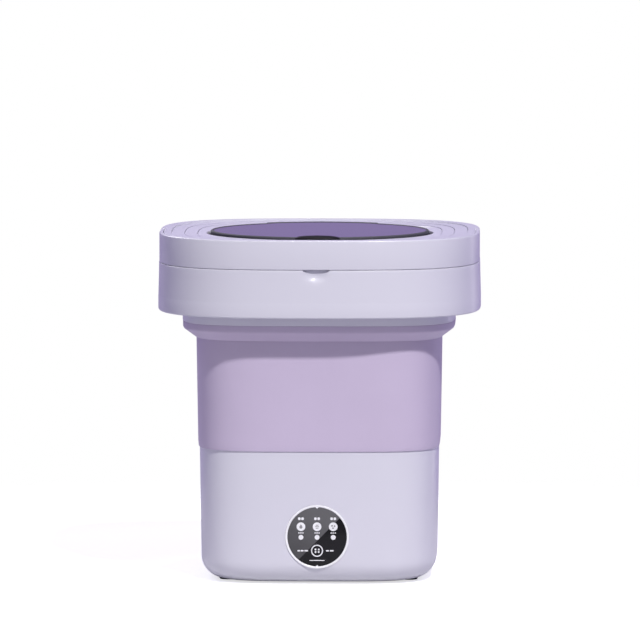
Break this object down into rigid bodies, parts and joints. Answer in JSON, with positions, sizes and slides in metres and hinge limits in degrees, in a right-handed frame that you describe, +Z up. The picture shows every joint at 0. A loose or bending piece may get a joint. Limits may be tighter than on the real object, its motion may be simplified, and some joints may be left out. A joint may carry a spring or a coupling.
{
  "type": "top load washing machine",
  "caption": "Small folding top load washing machine with a soft collapsing tub wall, a square-round rim, a smoked round lid, a swing handle and a round touch panel on its base.",
  "frame": {"origin": "on the floor under the middle of the machine", "axes": "+Z up, -Y towards the front with the control panel, +X to the right seen from the front"},
  "size_m": [0.28, 0.28, 0.3014],
  "materials": {
    "lilac_abs": "satin lilac moulding",
    "soft_tpr": "matt lilac elastomer",
    "black_rubber": "matt",
    "smoked_lid": "smoked, glossy",
    "black_glass": "glossy black",
    "black_plastic": "matt",
    "white_plastic": "satin white",
    "steel": "brushed",
    "zinc": "zinc plated",
    "board_green": "solder mask"
  },
  "bodies": {
    "base": {"base_shell": "lilac_abs", "bottom_cover": "lilac_abs", "feet": "black_rubber", "bottom_screws": "steel", "tub_liner": "lilac_abs", "bellows": "soft_tpr", "clamp_lower": "white_plastic", "bearing_housing": "zinc", "bearing_upper": "steel", "bearing_lower": "steel", "shaft_seal": "black_rubber", "motor_bracket": "zinc", "motor_body": "zinc", "motor_screws": "steel", "drive_belt": "black_rubber", "drain_elbow": "white_plastic", "drain_strainer": "steel", "drain_spigot": "white_plastic", "drain_grommet": "black_rubber", "power_inlet": "black_plastic", "inlet_nut": "steel", "panel_ring": "white_plastic", "panel_glass": "black_glass", "panel_housing": "white_plastic", "control_board": "board_green", "board_components": "black_plastic", "board_screws": "steel"},
    "upper_frame": {"top_cover": "lilac_abs", "mouth_ring": "black_plastic", "rim_posts": "lilac_abs", "rim_skirt": "lilac_abs", "rim_floor": "lilac_abs", "collar_ring": "soft_tpr", "clamp_upper": "white_plastic", "hose_socket": "lilac_abs", "cover_screws": "steel"},
    "lid": {"lid_window": "smoked_lid", "lid_seal": "black_rubber", "lid_hinge_pins": "steel"},
    "handle": {"handle_bail": "lilac_abs", "handle_pins": "steel"},
    "rotor": {"drive_shaft": "steel", "drum_pulley": "white_plastic", "drive_plate": "white_plastic", "spin_basket": "white_plastic", "basket_ring": "white_plastic", "pulsator": "lilac_abs", "pulsator_screw": "steel"},
    "motor_rotor": {"motor_shaft": "steel", "motor_pulley": "white_plastic"}
  },
  "joints": [
    {"name": "collapse", "type": "slide", "parent": "base", "child": "upper_frame", "axis": [0, 0, -1], "range_m": [0, 0.13], "deforming": ["bellows"]},
    {"name": "lid_hinge", "type": "hinge", "parent": "upper_frame", "child": "lid", "pos_m": [0, 0.087, 0.2956], "axis": [-1, 0, 0], "range_deg": [0, 100]},
    {"name": "handle_pivot", "type": "hinge", "parent": "upper_frame", "child": "handle", "pos_m": [0, 0.0075, 0.2925], "axis": [-1, 0, 0], "range_deg": [0, 90]},
    {"name": "drum_spin", "type": "hinge", "parent": "base", "child": "rotor", "pos_m": [0, 0, 0.1], "axis": [0, 0, 1], "continuous": true},
    {"name": "motor_spin", "type": "hinge", "parent": "base", "child": "motor_rotor", "pos_m": [-0.05023, 0.029, 0.04], "axis": [0, 0, 1], "continuous": true}
  ],
  "couplings": [
    {"joint": "motor_spin", "follows": "drum_spin", "ratio": 4}
  ]
}
